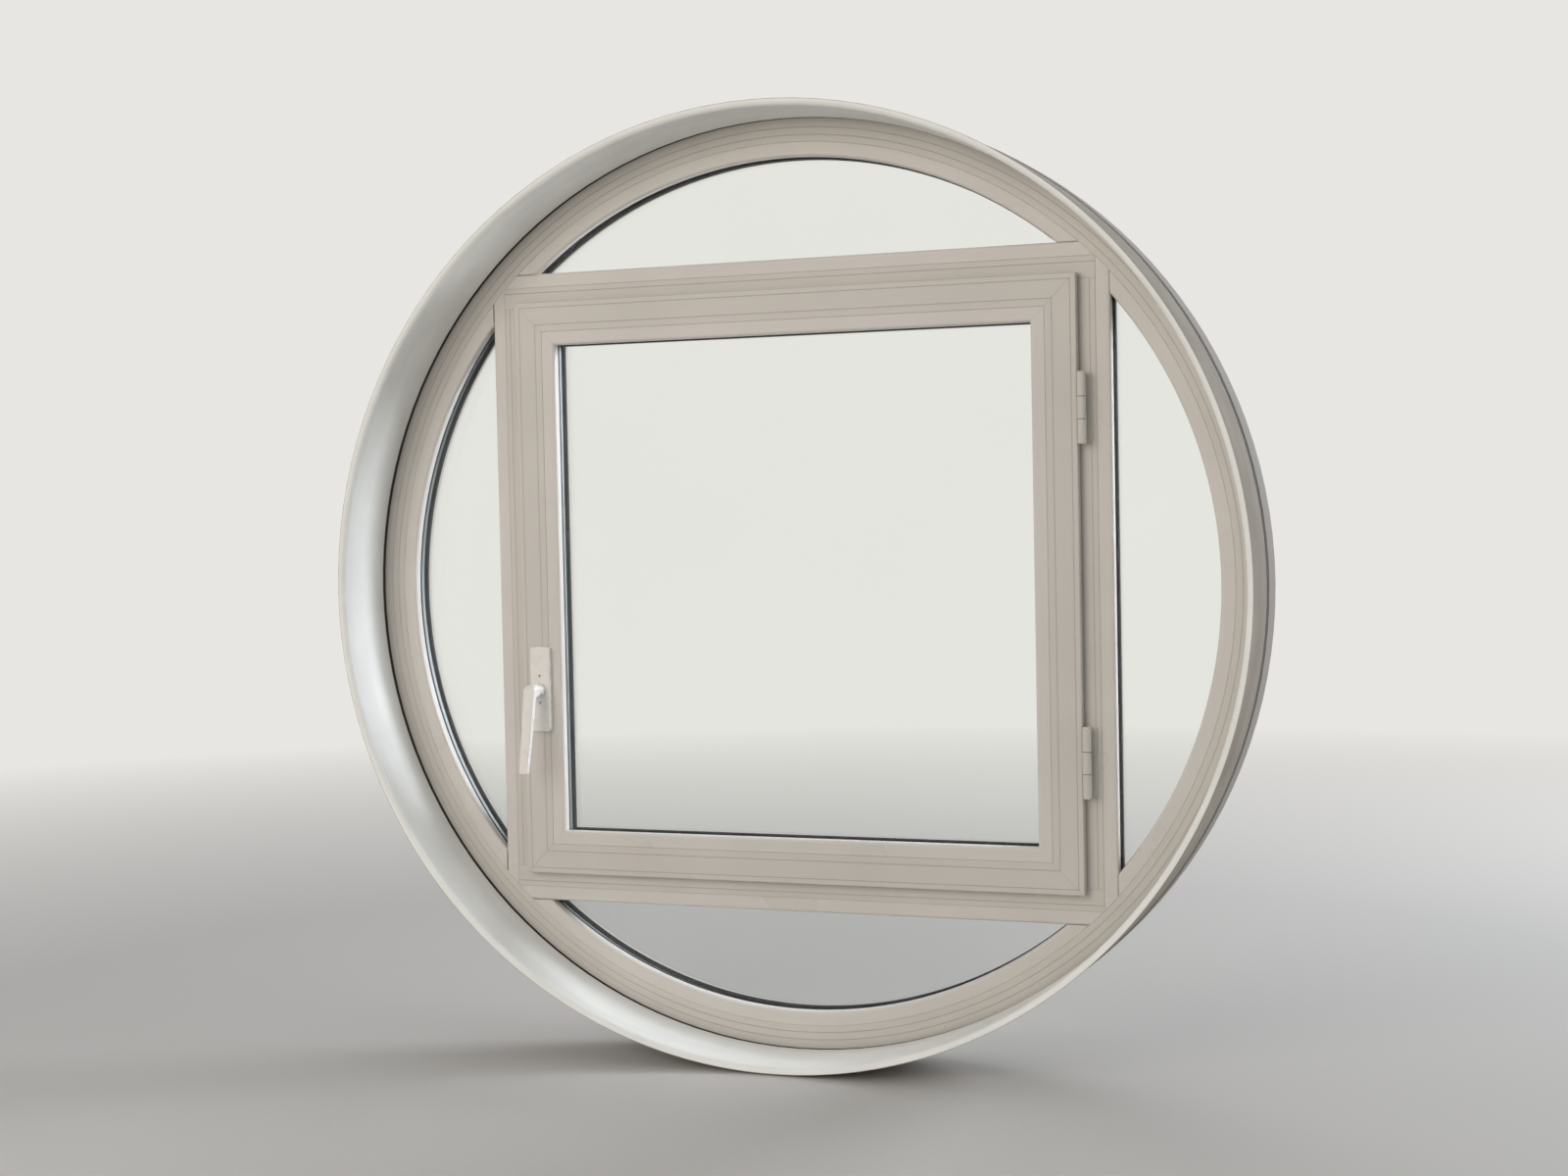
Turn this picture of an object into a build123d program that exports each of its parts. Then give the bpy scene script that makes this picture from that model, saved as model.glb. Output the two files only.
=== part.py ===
from build123d import *
from math import acos, cos, degrees, pi, radians, sin, sqrt, tan
import os

# Round window with a square side-hung sash and four segment lights.
# X is to the right as seen from the room, Y points outdoors and Z is up. The origin is on the
# ring's axis, at the middle of the frame's depth. Sizes are in millimetres, "across" is the
# distance from the centre and "depth" is the place along Y.

# Ring frame
ring_outer_r = 728.0
ring_face = 47.0
drip_slope = 6.0

# Glazing layers, the same in ring and sash
leg_depth = 15.0
gasket_depth = 3.0
pane_depth = 4.0
cavity_depth = 16.0
bead_depth = 15.0
bead_width = 22.0
bead_nose_r = 5.0
edge_clearance = 5.0
spacer_width = 12.0
gasket_width = 13.0
gasket_setback = 1.0
arris_r = 1.0
bevel = 1.0
mitre_gap = 0.1

# Square of transoms and mullions
bar_width = 33.0
corner_clearance = 0.46
sash_leg = 22.0

# Sash
sash_proud = 18.0
sash_overlap = 8.0
sash_face = 47.0
hardware_gap = 12.0
flange_depth = 14.0
weld_groove_width = 1.6
weld_groove_depth = 0.5

# Seals
seal_width = 5.0
seal_clearance = 0.3
overlap_seal_inset = 2.0
weather_seal_inset = 2.0

# Lining of the round opening
liner_inset = 2.0
liner_wall = 10.0
liner_depth = 121.0
liner_arris_r = 9.0
joint_width = 9.0
joint_recess = 0.5

# Setting blocks
block_length = 60.0
block_depth = 22.0
flat_block_across = 200.0
low_block_angle = 14.0
side_block_angle = 28.0
sash_block_across = 300.0

# Hinges
hinge_offset = 7.0
hinge_stand = 20.0
hinge_height = 260.0
knuckle_r = 6.5
knuckle_length = 33.0
knuckle_gap = 0.5
hinge_pin_r = 3.5
pin_clearance = 0.05
pin_cap_length = 3.0
pin_cap_bevel = 1.5
leaf_thickness = 3.0
leaf_web = 6.0
foot_width = 14.0
stud_r = 3.0
stud_length = 14.0
stud_spacing = 16.0
stud_clearance = 0.1

# Handle
handle_height = -160.0
backset = 14.5
plate_width = 34.0
plate_length = 136.0
plate_depth = 10.0
plate_corner_r = 6.0
plate_edge_r = 2.5
lever_clearance = 0.3
neck_r = 9.5
neck_length = 20.0
lever_reach = 130.0
lever_lean = 12.0
grip_stand = 14.0
grip_width = 20.0
grip_depth = 12.0
tip_width = 15.0
tip_depth = 10.0
grip_edge_r = 3.0
elbow_r = 13.0
crook_r = 5.0
shoulder_r = 8.0
tip_corner_r = 5.0
spindle_side = 7.0
square_clearance = 0.1
spindle_bore_r = 6.0
screw_spacing = 43.0
screw_r = 2.5
screw_head_r = 4.5
screw_head_depth = 2.5

# Lock
lock_depth = 13.0
faceplate_width = 16.0
faceplate_thickness = 2.0
faceplate_length = 690.0
bar_length = 640.0
rod_width = 9.0
rod_thickness = 2.0
rod_clearance = 0.2
rod_end_clearance = 5.0
gear_module = 1.6
gear_teeth = 11
follower_teeth = 5
gear_addendum = 1.4
rack_addendum = 1.0
tooth_root_clearance = 0.4
gear_backlash = 0.3
pressure_angle = 20.0
rack_teeth = 5
hub_r = 7.0
hub_clearance = 0.05
gearbox_length = 70.0
gearbox_slot_length = 48.0
gearbox_cheek = 3.0
gearbox_rim = 2.0
cam_height = 250.0
cam_neck_r = 3.5
cam_head_r = 5.5
cam_head_length = 3.8
cam_clearance = 4.2
keep_length = 70.0
keep_base = 2.5
keep_lip = 1.0
keep_lip_width = 3.0

# Drainage
drain_length = 26.0
drain_height = 5.0
ring_drain_angle = 22.0
sash_drain_across = 260.0
cap_length = 36.0
cap_height = 11.0
cap_depth = 4.0
cap_wall = 1.2

# Sizes that follow from the ones above
rebate_r = ring_outer_r - ring_face
sight_r = rebate_r - bead_width
unit_r = rebate_r - edge_clearance
bar_outer = rebate_r / sqrt(2) + corner_clearance
chord_sight = bar_outer + bead_width
chord_unit = bar_outer + edge_clearance
opening_half = bar_outer - bar_width
leg_half = opening_half - sash_leg
unit_depth = 2 * pane_depth + cavity_depth
frame_depth = leg_depth + 2 * gasket_depth + unit_depth + bead_depth
sash_half = opening_half + sash_overlap
sash_body_half = opening_half - hardware_gap
sash_rebate = sash_half - sash_face
sash_sight = sash_rebate - bead_width
sash_unit = sash_rebate - edge_clearance
liner_outer_r = ring_outer_r - liner_inset
liner_r = liner_outer_r - liner_wall


def glazing_depths(outdoor_face):
    """Depths of the layers that hold a glass unit, from the outdoor face to the room."""
    leg = outdoor_face - leg_depth
    unit_out = leg - gasket_depth
    unit_in = unit_out - unit_depth
    bead = unit_in - gasket_depth
    return {
        "out": outdoor_face,
        "leg": leg,
        "unit_out": unit_out,
        "unit_in": unit_in,
        "bead": bead,
        "room": bead - bead_depth,
    }


frame_at = glazing_depths(frame_depth / 2)
sash_at = glazing_depths(frame_depth / 2 - sash_proud)
flange_back = sash_at["room"] + flange_depth
side_angle = {"top": 0, "right": 90, "bottom": 180, "left": 270}

hinge_x = sash_half + hinge_offset
hinge_y = frame_at["room"] - hinge_stand
handle_x = -(sash_body_half - backset)
lock_y = flange_back + lock_depth
pitch_r = gear_module * gear_teeth / 2
pitch_line_x = handle_x - pitch_r
rod_face_x = pitch_line_x - gear_addendum - tooth_root_clearance
rod_back_x = rod_face_x - rod_thickness
faceplate_back_x = rod_back_x - rod_clearance
lock_travel = pitch_r * pi / 2


def outline(*corners):
    """Closed face through corners given as (first, second, corner radius)."""
    points = [corner[:2] for corner in corners]
    radii = [corner[2] for corner in corners]
    return make_face(FilletPolyline(*points, radius=radii, close=True))


def slab(sketch, depth_from, depth_to):
    """A sketch drawn in X and Z, thickened between two depths."""
    plane = Plane(origin=(0, depth_to, 0), x_dir=(1, 0, 0), z_dir=(0, -1, 0))
    return extrude(plane * sketch, depth_to - depth_from)


def top_bar(section, length):
    """A straight member above the centre, its section drawn as (across, depth)."""
    plane = Plane(origin=(length / 2, 0, 0), x_dir=(0, 0, 1), z_dir=(-1, 0, 0))
    return extrude(plane * section, length)


def on_side(part, side):
    """The member modelled at the top, turned to another side of the window."""
    return Rot(0, side_angle[side], 0) * part


def block(x_span, y_span, z_span):
    """A box between two values along each axis."""
    sizes = [abs(span[1] - span[0]) for span in (x_span, y_span, z_span)]
    centre = [(span[0] + span[1]) / 2 for span in (x_span, y_span, z_span)]
    return Pos(*centre) * Box(*sizes)


def along_x(radius, x_from, x_to, y, z):
    """A round bar along X."""
    return Pos((x_from + x_to) / 2, y, z) * Rot(0, 90, 0) * Cylinder(radius, abs(x_to - x_from))


def along_y(radius, y_from, y_to, x, z):
    """A round bar along Y."""
    return Pos(x, (y_from + y_to) / 2, z) * Rot(90, 0, 0) * Cylinder(radius, abs(y_to - y_from))


def along_z(radius, z_from, z_to, x, y):
    """A round bar along Z."""
    return Pos(x, y, (z_from + z_to) / 2) * Cylinder(radius, abs(z_to - z_from))


def segment(chord, radius):
    """The part of a disc above a chord, in X and Z."""
    return Circle(radius) & Pos(0, chord + radius) * Rectangle(2 * radius, 2 * radius)


def square(half):
    return Rectangle(2 * half, 2 * half)


def mitre_wedge(reach, gap=0.0):
    """The quarter of a square above both diagonals."""
    return Polygon((0, gap), (reach, reach + gap), (-reach, reach + gap), align=None)


# Fixed frame


def ring_section():
    room, leg, out = frame_at["room"], frame_at["leg"], frame_at["out"]
    return outline(
        (ring_outer_r, room, 0),
        (ring_outer_r, out, 0),
        (sight_r + drip_slope, out, 0),
        (sight_r, (leg + out) / 2, 0),
        (sight_r, leg, 0),
        (rebate_r, leg, 0),
        (rebate_r, room + bevel, 0),
        (rebate_r + bevel, room, 0),
    )


def drain_slots(depth_from, depth_to, place):
    """A pair of drain slots cut through an outer leg."""
    slot = block((-drain_length / 2, drain_length / 2), (depth_from, depth_to), (0, drain_height))
    return [p * slot for p in place]


def ring_drain_places():
    return [
        Rot(0, angle, 0) * Pos(0, 0, -rebate_r)
        for angle in (-ring_drain_angle, ring_drain_angle)
    ]


def sash_drain_places():
    return [Pos(x, 0, -opening_half) for x in (-sash_drain_across, sash_drain_across)]


def make_outer_frame():
    ring = revolve(ring_section(), Axis.Y)
    return ring - drain_slots(frame_at["leg"], frame_at["out"], ring_drain_places())


def bar_section():
    """Transom and mullion: a body with an outer leg towards the sash and towards the light."""
    room, leg, out = frame_at["room"], frame_at["leg"], frame_at["out"]
    middle = (leg + out) / 2
    return outline(
        (leg_half, leg, arris_r),
        (leg_half, middle, arris_r),
        (leg_half + drip_slope, out, arris_r),
        (chord_sight - drip_slope, out, arris_r),
        (chord_sight, middle, arris_r),
        (chord_sight, leg, arris_r),
        (bar_outer, leg, 0),
        (bar_outer, room, arris_r),
        (opening_half, room, arris_r),
        (opening_half, leg, 0),
    )


def make_transom(ring):
    full = top_bar(bar_section(), 2 * bar_outer)
    past_mullion = slab(
        Rectangle(2 * bar_outer, 2 * opening_half) - Rectangle(2 * opening_half, 2 * opening_half),
        frame_at["room"],
        frame_at["out"],
    )
    return full - past_mullion - ring


def make_mullion(ring, transoms):
    return top_bar(bar_section(), 2 * opening_half).rotate(Axis.Y, 90) - ring - transoms


def bead_section(base, tip, depths):
    inward = 1 if tip > base else -1
    return outline(
        (base, depths["bead"], 0),
        (base, depths["room"] + bevel, 0),
        (base + inward * bevel, depths["room"], 0),
        (tip, depths["room"], bead_nose_r),
        (tip, depths["bead"], 0),
    )


def make_straight_bead():
    bead = top_bar(bead_section(bar_outer, chord_sight, frame_at), 2 * rebate_r)
    return bead & slab(Circle(rebate_r), frame_at["room"], frame_at["out"])


def make_arc_bead():
    ring = revolve(bead_section(rebate_r, sight_r, frame_at), Axis.Y)
    span = (-ring_outer_r, ring_outer_r)
    return ring & block(span, (frame_at["room"], frame_at["out"]), (chord_sight, ring_outer_r))


def glass_unit(edge, spacer_inside, gasket_loop, depths):
    """Panes, spacer and gasket pair of one light, from their outlines in X and Z."""
    unit_in, unit_out = depths["unit_in"], depths["unit_out"]
    cavity_in, cavity_out = unit_in + pane_depth, unit_out - pane_depth
    return {
        "inner_pane": slab(edge, unit_in, cavity_in),
        "outer_pane": slab(edge, cavity_out, unit_out),
        "spacer": slab(edge - spacer_inside, cavity_in, cavity_out),
        "gaskets": slab(gasket_loop, depths["bead"], unit_in)
        + slab(gasket_loop, unit_out, depths["leg"]),
    }


def make_segment_light():
    edge = segment(chord_unit, unit_r)
    spacer_inside = segment(chord_unit + spacer_width, unit_r - spacer_width)
    gasket_inner = segment(chord_sight - gasket_setback, sight_r + gasket_setback)
    gasket_outer = segment(
        chord_sight - gasket_setback - gasket_width, sight_r + gasket_setback + gasket_width
    )
    pieces = glass_unit(edge, spacer_inside, gasket_outer - gasket_inner, frame_at)
    pieces["straight_bead"] = make_straight_bead()
    pieces["arc_bead"] = make_arc_bead()
    return pieces


def arc_block(angle):
    """A setting block on the ring, at an angle from straight down."""
    sweep_angle = degrees(block_length / rebate_r)
    section = outline(
        (unit_r, -block_depth / 2, 0),
        (rebate_r, -block_depth / 2, 0),
        (rebate_r, block_depth / 2, 0),
        (unit_r, block_depth / 2, 0),
    )
    piece = revolve(section, Axis.Y, revolution_arc=sweep_angle)
    return Rot(0, 90 - sweep_angle / 2 + angle, 0) * piece


def make_frame_blocks():
    half = block_length / 2
    flat = [
        block((x - half, x + half), (-block_depth / 2, block_depth / 2), (bar_outer, chord_unit))
        for x in (-flat_block_across, flat_block_across)
    ]
    low = [arc_block(angle) for angle in (-low_block_angle, low_block_angle)]
    side = [
        arc_block(base + turn)
        for base in (-90, 90)
        for turn in (-side_block_angle, side_block_angle)
    ]
    return Part() + flat + low + side


def make_drain_caps():
    """Hooded caps over the drain slots, on the outdoor face."""
    out = frame_at["out"]
    half = cap_length / 2
    middle = drain_height / 2
    z_span = (middle - cap_height / 2, middle + cap_height / 2)
    shell = block((-half, half), (out, out + cap_depth), z_span)
    rim = shell.faces().sort_by(Axis.Y)[-1].edges()
    hood = chamfer(rim, cap_wall)
    hollow = block(
        (-half + 2 * cap_wall, half - 2 * cap_wall),
        (out, out + cap_depth - cap_wall),
        (z_span[0] - cap_wall, z_span[1] - 2 * cap_wall),
    )
    cap = hood - hollow
    return Part() + [place * cap for place in ring_drain_places() + sash_drain_places()]


def make_weather_seal():
    """Seal loop on the frame's outer leg, that the closed sash meets."""
    inner = leg_half + weather_seal_inset
    loop = square(inner + seal_width) - square(inner)
    return slab(loop, sash_at["out"] + seal_clearance, frame_at["leg"])


# Lining of the round opening


def make_liner():
    front = frame_at["room"] - joint_width - liner_depth
    back = frame_at["room"] - joint_width
    section = outline(
        (liner_outer_r, front, 0),
        (liner_outer_r, back, 0),
        (liner_r, back, 0),
        (liner_r, front, liner_arris_r),
    )
    return revolve(section, Axis.Y)


def make_liner_seal():
    inner_r = liner_r + joint_recess
    outer_r = liner_outer_r - arris_r
    front, back = frame_at["room"] - joint_width, frame_at["room"]
    return slab(Circle(outer_r) - Circle(inner_r), front, back)


# Sash


def sash_section():
    room, leg, out = sash_at["room"], sash_at["leg"], sash_at["out"]
    middle = (leg + out) / 2
    groove = faceplate_width / 2
    groove_across = -faceplate_back_x
    return outline(
        (sash_rebate, room, arris_r),
        (sash_half, room, 2 * arris_r),
        (sash_half, flange_back, arris_r),
        (sash_body_half, flange_back, 0),
        (sash_body_half, lock_y - groove, 0),
        (groove_across, lock_y - groove, 0),
        (groove_across, lock_y + groove, 0),
        (sash_body_half, lock_y + groove, 0),
        (sash_body_half, out, arris_r),
        (sash_sight + drip_slope, out, arris_r),
        (sash_sight, middle, arris_r),
        (sash_sight, leg, arris_r),
        (sash_rebate, leg, 0),
    )


def weld_grooves():
    """Shallow grooves of the welded mitres, on the room face and the outdoor face."""
    cuts = []
    for from_across, to_across, face in (
        (sash_rebate, sash_half, sash_at["room"]),
        (sash_sight + drip_slope, sash_body_half, sash_at["out"]),
    ):
        middle = (from_across + to_across) / 2
        length = (to_across - from_across) * sqrt(2)
        groove = Rot(0, -45, 0) * Box(length, 2 * weld_groove_depth, weld_groove_width)
        for turn in side_angle.values():
            cuts.append(Rot(0, turn, 0) * Pos(middle, face, middle) * groove)
    return cuts


def make_sash_frame():
    bar = top_bar(sash_section(), 2 * sash_half)
    bar = bar & slab(mitre_wedge(sash_half), sash_at["room"], sash_at["out"])
    body = on_side(bar, "top")
    for side in ("right", "bottom", "left"):
        body = body + on_side(bar, side)
    return body - weld_grooves() - lock_cuts() - handle_cuts() - hinge_stud_holes()


def make_sash_bead():
    bead = top_bar(bead_section(sash_rebate, sash_sight, sash_at), 2 * sash_rebate)
    wedge = mitre_wedge(sash_rebate, mitre_gap)
    return bead & slab(wedge, sash_at["room"], sash_at["bead"])


def make_sash_light():
    gasket_inner = sash_sight + gasket_setback
    gasket_loop = square(gasket_inner + gasket_width) - square(gasket_inner)
    return glass_unit(square(sash_unit), square(sash_unit - spacer_width), gasket_loop, sash_at)


def make_overlap_seal():
    """Seal loop behind the sash flange, that meets the frame's room face."""
    outer = sash_half - overlap_seal_inset
    loop = square(outer) - square(outer - seal_width)
    return slab(loop, flange_back, frame_at["room"] - seal_clearance)


def make_sash_blocks():
    half = block_length / 2
    depth = (
        (sash_at["unit_in"] + sash_at["unit_out"] - block_depth) / 2,
        (sash_at["unit_in"] + sash_at["unit_out"] + block_depth) / 2,
    )
    piece = block((-half, half), depth, (sash_unit, sash_rebate))
    low = [on_side(Pos(x, 0, 0) * piece, "bottom") for x in (-sash_block_across, sash_block_across)]
    hinge_side = on_side(Pos(sash_block_across, 0, 0) * piece, "right")
    handle_side = on_side(Pos(sash_block_across, 0, 0) * piece, "left")
    return Part() + low + [hinge_side, handle_side]


# Hinges, modelled about height 0


def knuckle_span(index):
    """Lowest and highest point of one of the three knuckles."""
    middle = (index - 1) * (knuckle_length + knuckle_gap)
    return middle - knuckle_length / 2, middle + knuckle_length / 2


def hinge_pin_hole():
    half = 2 * knuckle_length
    return along_z(hinge_pin_r + pin_clearance, -half, half, hinge_x, hinge_y)


def sash_studs(radius):
    middle = (sash_at["room"] + flange_back) / 2
    return [
        along_x(radius, sash_half - stud_length, sash_half, middle, z)
        for z in (-stud_spacing / 2, stud_spacing / 2)
    ]


def frame_studs(radius):
    x = hinge_x + foot_width / 2
    room = frame_at["room"]
    heights = [sum(knuckle_span(index)) / 2 for index in (0, 2)]
    return [along_y(radius, room, room + stud_length, x, z) for z in heights]


def hinge_stud_holes():
    holes = sash_studs(stud_r + stud_clearance)
    return [Pos(0, 0, z) * hole for z in (-hinge_height, hinge_height) for hole in holes]


def frame_stud_holes():
    holes = frame_studs(stud_r + stud_clearance)
    return [Pos(0, 0, z) * hole for z in (-hinge_height, hinge_height) for hole in holes]


def make_frame_leaf():
    room = frame_at["room"]
    low, high = knuckle_span(0)[0], knuckle_span(2)[1]
    foot_x = (hinge_x - leaf_web / 2, hinge_x - leaf_web / 2 + foot_width)
    leaf = block(foot_x, (room - leaf_thickness, room), (low, high))
    web_x = (hinge_x - leaf_web / 2, hinge_x + leaf_web / 2)
    for index in (0, 2):
        span = knuckle_span(index)
        leaf += along_z(knuckle_r, *span, hinge_x, hinge_y)
        leaf += block(web_x, (hinge_y, room - leaf_thickness), span)
    return leaf + frame_studs(stud_r) - hinge_pin_hole()


def make_sash_leaf():
    span = knuckle_span(1)
    leaf = along_z(knuckle_r, *span, hinge_x, hinge_y)
    pad_x = (sash_half, sash_half + hinge_offset - leaf_thickness)
    leaf += block(pad_x, (hinge_y, flange_back - arris_r), span)
    return leaf + sash_studs(stud_r) - hinge_pin_hole()


def make_hinge_pin():
    low, high = knuckle_span(0)[0], knuckle_span(2)[1]
    section = outline(
        (0, low - pin_cap_length, 0),
        (knuckle_r - pin_cap_bevel, low - pin_cap_length, 0),
        (knuckle_r, low - pin_cap_length + pin_cap_bevel, 0),
        (knuckle_r, low, 0),
        (hinge_pin_r, low, 0),
        (hinge_pin_r, high, 0),
        (knuckle_r, high, 0),
        (knuckle_r, high + pin_cap_length - pin_cap_bevel, 0),
        (knuckle_r - pin_cap_bevel, high + pin_cap_length, 0),
        (0, high + pin_cap_length, 0),
    )
    upright = Plane(origin=(0, 0, 0), x_dir=(1, 0, 0), z_dir=(0, -1, 0)) * section
    return Pos(hinge_x, hinge_y, 0) * revolve(upright, Axis.Z)


# Handle, modelled about the spindle's axis and moved to its place on the stile


def at_handle(part):
    return Pos(handle_x, 0, handle_height) * part


def square_bar(side, y_from, y_to):
    return block((-side / 2, side / 2), (y_from, y_to), (-side / 2, side / 2))


def screw_heights():
    return (-screw_spacing / 2, screw_spacing / 2)


plate_front = sash_at["room"] - plate_depth
screw_tip = lock_y - rod_width / 2 - rod_clearance


def handle_screw(clearance=0.0):
    head_back = plate_front + screw_head_depth
    shank = along_y(screw_r + clearance, plate_front, screw_tip, 0, 0)
    head = along_y(screw_head_r + clearance, plate_front, head_back, 0, 0)
    return shank + head


def make_handle_plate():
    room = sash_at["room"]
    plate = slab(RectangleRounded(plate_width, plate_length, plate_corner_r), plate_front, room)
    plate = fillet(plate.faces().sort_by(Axis.Y)[0].edges(), plate_edge_r)
    plate -= along_y(spindle_bore_r, plate_front, room, 0, 0)
    for z in screw_heights():
        plate -= Pos(0, 0, z) * handle_screw(stud_clearance)
    return at_handle(plate)


def make_handle_screws():
    screws = [Pos(0, 0, z) * handle_screw() for z in screw_heights()]
    return at_handle(Part() + screws)


def handle_cuts():
    """What the handle and its screws take out of the stile."""
    bore = along_y(spindle_bore_r, sash_at["room"], lock_y, 0, 0)
    screws = [
        along_y(screw_r + stud_clearance, sash_at["room"], lock_y, 0, z) for z in screw_heights()
    ]
    return [at_handle(cut) for cut in [bore, *screws]]


def make_handle_lever():
    """A round neck with a flat grip that hangs from it, leaning out from the sash."""
    start = plate_front - lever_clearance
    head = start - neck_length

    def grip_line(z):
        """Depth of the middle of the grip at a height."""
        return head - grip_stand + z * tan(radians(lever_lean))

    side = outline(
        (head, neck_r, 0),
        (grip_line(neck_r) - grip_depth / 2, neck_r, elbow_r),
        (grip_line(-lever_reach) - tip_depth / 2, -lever_reach, 0),
        (grip_line(-lever_reach) + tip_depth / 2, -lever_reach, 0),
        (grip_line(-neck_r) + grip_depth / 2, -neck_r, crook_r),
        (head, -neck_r, 0),
    )
    front = outline(
        (-grip_width / 2, neck_r, shoulder_r),
        (grip_width / 2, neck_r, shoulder_r),
        (tip_width / 2, -lever_reach, tip_corner_r),
        (-tip_width / 2, -lever_reach, tip_corner_r),
    )
    grip = extrude(Plane.YZ * side, tip_width, both=True)
    grip = grip & slab(front, head - lever_reach, head)
    rim = grip.edges() - grip.faces().sort_by(Axis.Y)[-1].edges()
    beside = rim.filter_by(lambda edge: abs(edge.center().X) > grip_width / 4)
    below = rim.filter_by(lambda edge: edge.center().Z < tip_corner_r - lever_reach)
    grip = fillet(beside + (below - beside), grip_edge_r)
    neck = along_y(neck_r, head, start, 0, 0)
    socket = square_bar(spindle_side + 2 * square_clearance, head, start)
    return at_handle(neck + grip - socket)


def make_handle_spindle():
    start = plate_front - lever_clearance - neck_length
    end = lock_y + faceplate_width / 2
    return at_handle(square_bar(spindle_side, start, end))


# Lock in the handle stile


def involute_angle(radius, base_r):
    """Polar angle swept by an involute from its base circle out to a radius."""
    roll = sqrt(max((radius / base_r) ** 2 - 1, 0))
    return roll - acos(min(base_r / radius, 1))


def gear_outline():
    """Follower with teeth only on the stretch that meets the rack, in X and Z."""
    base_r = pitch_r * cos(radians(pressure_angle))
    tip_r = pitch_r + gear_addendum
    root_r = pitch_r - rack_addendum - tooth_root_clearance
    half_tooth = pi / (2 * gear_teeth) - gear_backlash / (2 * pitch_r)
    at_pitch = involute_angle(pitch_r, base_r)
    flank_radii = [root_r, base_r, (base_r + pitch_r) / 2, pitch_r, (pitch_r + tip_r) / 2, tip_r]
    pitch_angle = 2 * pi / gear_teeth
    gear = Circle(root_r)
    for tooth in range(follower_teeth):
        middle = pi - (tooth - 1) * pitch_angle
        flank = [
            (radius, half_tooth + at_pitch - involute_angle(max(radius, base_r), base_r))
            for radius in flank_radii
        ]
        left = [(radius * cos(middle + a), radius * sin(middle + a)) for radius, a in flank]
        right = [(radius * cos(middle - a), radius * sin(middle - a)) for radius, a in flank]
        gear += make_face(Polyline((0, 0), *left, *reversed(right), (0, 0)))
    return gear


def make_lock_follower():
    half = rod_width / 2
    cheek = faceplate_width / 2
    follower = slab(gear_outline(), lock_y - half, lock_y + half)
    follower += along_y(hub_r, lock_y - cheek, lock_y + cheek, 0, 0)
    follower -= square_bar(spindle_side + 2 * square_clearance, lock_y - cheek, lock_y + cheek)
    return at_handle(follower)


def rack_section():
    """One rack tooth that a gear gap holds at the pitch line, in X and Z."""
    pitch = pi * gear_module
    lean = tan(radians(pressure_angle))
    root = -gear_addendum - tooth_root_clearance
    half_root = pitch / 4 - root * lean
    half_tip = pitch / 4 - rack_addendum * lean
    return Polygon(
        (root, -half_root), (rack_addendum, -half_tip), (rack_addendum, half_tip), (root, half_root),
        align=None,
    )


def make_lock_bar():
    """Flat rod with a rack at the follower and two mushroom cams."""
    half = rod_width / 2
    y_span = (lock_y - half, lock_y + half)
    bar = block((rod_back_x, rod_face_x), y_span, (-bar_length / 2, bar_length / 2))
    tooth = slab(rack_section(), *y_span)
    pitch = pi * gear_module
    for index in range(rack_teeth):
        bar += Pos(pitch_line_x, 0, handle_height + index * pitch - pitch / 2) * tooth
    head_end = -opening_half + cam_clearance
    head_start = head_end + cam_head_length
    for z in (-cam_height, cam_height):
        bar += along_x(cam_neck_r, rod_back_x, head_start, lock_y, z)
        bar += along_x(cam_head_r, head_start, head_end, lock_y, z)
    return bar


def make_lock_faceplate():
    half = faceplate_width / 2
    front_x = faceplate_back_x - faceplate_thickness
    plate = block(
        (front_x, faceplate_back_x),
        (lock_y - half, lock_y + half),
        (-faceplate_length / 2, faceplate_length / 2),
    )
    reach = cam_neck_r + rod_clearance
    for z in (-cam_height, cam_height):
        plate -= block(
            (front_x, faceplate_back_x),
            (lock_y - reach, lock_y + reach),
            (z - lock_travel - reach, z + reach),
        )
    return plate


def gearbox_spans(extra=0.0):
    x = (faceplate_back_x, handle_x + hub_r + gearbox_rim + extra)
    y = (lock_y - faceplate_width / 2, lock_y + faceplate_width / 2)
    z = (handle_height - gearbox_length / 2 - extra, handle_height + gearbox_length / 2 + extra)
    return x, y, z


def make_lock_gearbox():
    x, y, z = gearbox_spans()
    inside_y = (y[0] + gearbox_cheek, y[1] - gearbox_cheek)
    box = block(x, y, z)
    slot_z = (handle_height - gearbox_slot_length / 2, handle_height + gearbox_slot_length / 2)
    box -= block(x, inside_y, slot_z)
    box -= block((x[0], rod_face_x + rod_clearance), inside_y, z)
    box -= at_handle(along_y(hub_r + hub_clearance, *y, 0, 0))
    for height in screw_heights():
        box -= at_handle(along_y(screw_r + stud_clearance, y[0], inside_y[0], 0, height))
    return box


def lock_cuts():
    """Pocket for the gearbox and channel for the rod in the handle stile."""
    pocket = block(*gearbox_spans(stud_clearance))
    half = rod_width / 2 + rod_clearance
    channel_half = bar_length / 2 + lock_travel + rod_end_clearance
    channel = block(
        (faceplate_back_x, rod_face_x + rod_clearance),
        (lock_y - half, lock_y + half),
        (-channel_half, channel_half - lock_travel),
    )
    return [pocket, channel]


def make_lock_keeps():
    """Strike plates on the mullion, each with a shallow lip on the room side."""
    face = -opening_half
    base_y = (lock_y - faceplate_width / 2, lock_y + faceplate_width / 2)
    lip_y = (base_y[0], base_y[0] + keep_lip_width)
    keeps = []
    for z in (-cam_height, cam_height):
        span = (z - keep_length / 2 - lock_travel / 2, z + keep_length / 2 - lock_travel / 2)
        base = block((face, face + keep_base), base_y, span)
        keeps.append(base + block((face, face + keep_base + keep_lip), lip_y, span))
    return Part() + keeps


# Every node of the window


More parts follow.
